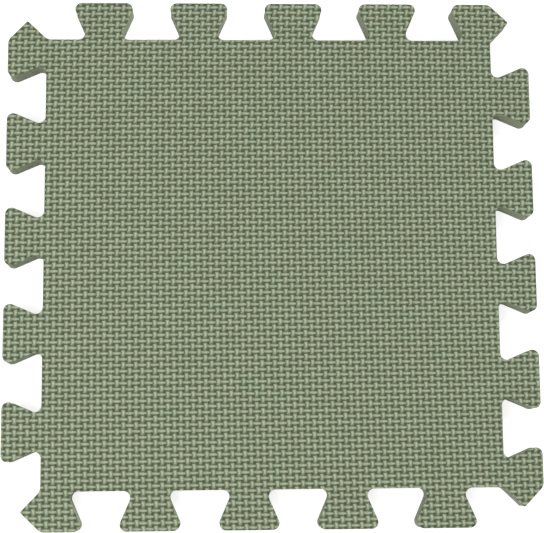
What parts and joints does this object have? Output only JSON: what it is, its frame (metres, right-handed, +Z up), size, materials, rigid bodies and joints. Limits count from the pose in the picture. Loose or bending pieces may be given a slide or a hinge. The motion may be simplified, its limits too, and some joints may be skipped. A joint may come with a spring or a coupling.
{
  "type": "interlocking foam floor tile",
  "caption": "Square foam floor tile with dovetail tabs and slots on every edge and a woven-look tread.",
  "frame": {"origin": "middle of the underside, where the tile's quarter turns meet", "axes": "+Z up through the tread; +X to the right and +Y to the back, each square to two edges. Seen from above, the edges run clockwise from tip to tip: back, right, front, left"},
  "size_m": [0.3236, 0.3236, 0.015],
  "materials": {
    "foam": "matte closed-cell foam, sage green, with an embossed woven tread"
  },
  "bodies": {
    "root": {"foam_tile": "foam"}
  },
  "joints": []
}
